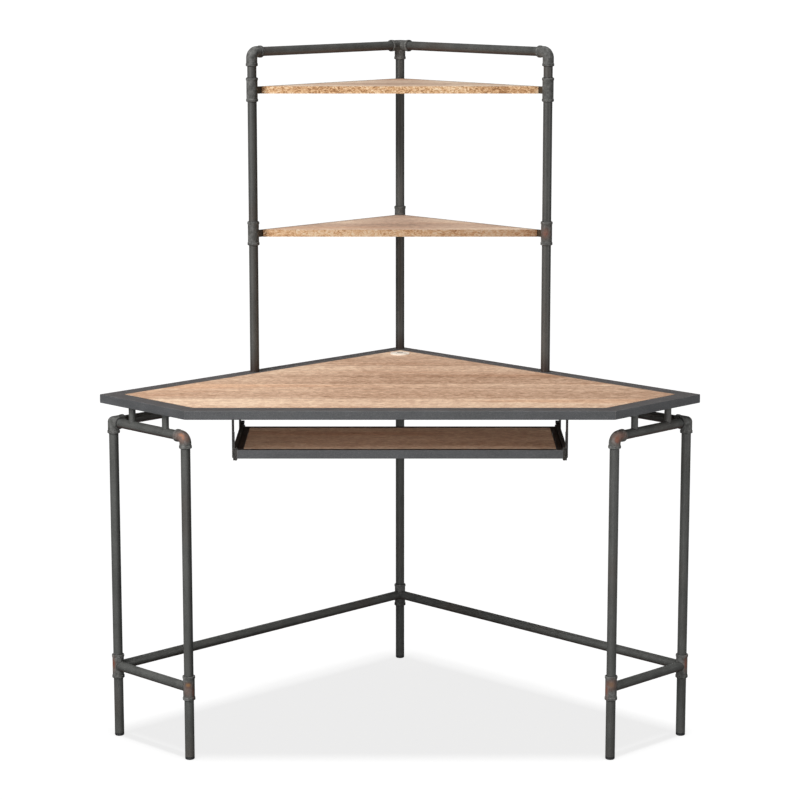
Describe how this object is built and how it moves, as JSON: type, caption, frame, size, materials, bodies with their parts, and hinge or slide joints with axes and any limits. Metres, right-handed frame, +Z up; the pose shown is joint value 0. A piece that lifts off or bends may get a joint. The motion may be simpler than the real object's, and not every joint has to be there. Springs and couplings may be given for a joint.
{
  "type": "corner desk",
  "caption": "Five-sided corner desk on pipe legs, with a hutch of triangular shelves, a sliding keyboard tray and a cable grommet.",
  "frame": {"origin": "on the floor, under the middle of the desk top", "axes": "+Z up, +Y towards the corner of the room behind the desk, +X to the right of a person sitting at it"},
  "size_m": [1.2912, 0.8436, 1.4925],
  "materials": {
    "desk_wood": "light brown planked veneer, satin, grain along the front edge",
    "shelf_wood": "light brown planked veneer with a mottled golden edge, satin",
    "tray_wood": "brown planked veneer, satin",
    "frame_steel": "dark blue-grey metallic paint, satin",
    "pipe_steel": "gunmetal paint with faint brown patches",
    "bar_steel": "dark gunmetal paint, matt",
    "cast_fittings": "rough casting, gunmetal with rust patches",
    "grommet_plastic": "cream moulded plastic, satin",
    "foot_plastic": "black moulded plastic, matt",
    "slide_steel": "black coated sheet steel, satin",
    "fasteners": "zinc-plated steel"
  },
  "bodies": {
    "desk_frame": {"desk_panel": "desk_wood", "end_rail_left": "pipe_steel", "end_rail_right": "pipe_steel", "end_stretcher_left": "pipe_steel", "end_stretcher_right": "pipe_steel", "fixed_screws": "fasteners", "foot_plugs": "foot_plastic", "frame_bolts": "fasteners", "grommet_liner": "grommet_plastic", "hutch_elbow_left": "cast_fittings", "hutch_elbow_right": "cast_fittings", "hutch_hub_back": "cast_fittings", "hutch_post_back": "pipe_steel", "hutch_post_left": "pipe_steel", "hutch_post_right": "pipe_steel", "hutch_top_pipe_left": "pipe_steel", "hutch_top_pipe_right": "pipe_steel", "leg_back": "pipe_steel", "leg_inner_left": "pipe_steel", "leg_inner_right": "pipe_steel", "leg_outer_left": "pipe_steel", "leg_outer_right": "pipe_steel", "leg_stubs": "pipe_steel", "lower_tee_back": "cast_fittings", "lower_tee_inner_left": "cast_fittings", "lower_tee_inner_right": "cast_fittings", "lower_tee_outer_left": "cast_fittings", "lower_tee_outer_right": "cast_fittings", "rail_elbow_inner_left": "cast_fittings", "rail_elbow_inner_right": "cast_fittings", "rail_elbow_outer_left": "cast_fittings", "rail_elbow_outer_right": "cast_fittings", "rail_hub_back": "cast_fittings", "rail_risers": "pipe_steel", "rim_end_left": "frame_steel", "rim_end_right": "frame_steel", "rim_front": "frame_steel", "rim_wall_left": "frame_steel", "rim_wall_right": "frame_steel", "shelf_bars_lower": "bar_steel", "shelf_bars_upper": "bar_steel", "shelf_lower": "shelf_wood", "shelf_tee_back": "cast_fittings", "shelf_tee_lower_left": "cast_fittings", "shelf_tee_lower_right": "cast_fittings", "shelf_tee_upper_left": "cast_fittings", "shelf_tee_upper_right": "cast_fittings", "shelf_upper": "shelf_wood", "slide_channels": "slide_steel", "tray_hangers": "slide_steel", "wall_rail_left": "pipe_steel", "wall_rail_right": "pipe_steel", "wall_stretcher_left": "pipe_steel", "wall_stretcher_right": "pipe_steel"},
    "keyboard_tray": {"tray_panel": "tray_wood", "tray_frame": "frame_steel", "slide_runners": "slide_steel", "tray_screws": "fasteners"},
    "ball_cages": {"slide_ball_cages": "slide_steel"},
    "cable_cap": {"grommet_cap": "grommet_plastic"}
  },
  "joints": [
    {"name": "tray_slide", "type": "slide", "parent": "desk_frame", "child": "keyboard_tray", "axis": [0, -1, 0], "range_m": [0, 0.2]},
    {"name": "cage_slide", "type": "slide", "parent": "desk_frame", "child": "ball_cages", "axis": [0, -1, 0], "range_m": [0, 0.1]},
    {"name": "cap_turn", "type": "hinge", "parent": "desk_frame", "child": "cable_cap", "pos_m": [0, 0.31079, 0.7627], "axis": [0, 0, 1], "continuous": true}
  ],
  "couplings": [
    {"joint": "cage_slide", "follows": "tray_slide", "ratio": 0.5}
  ]
}
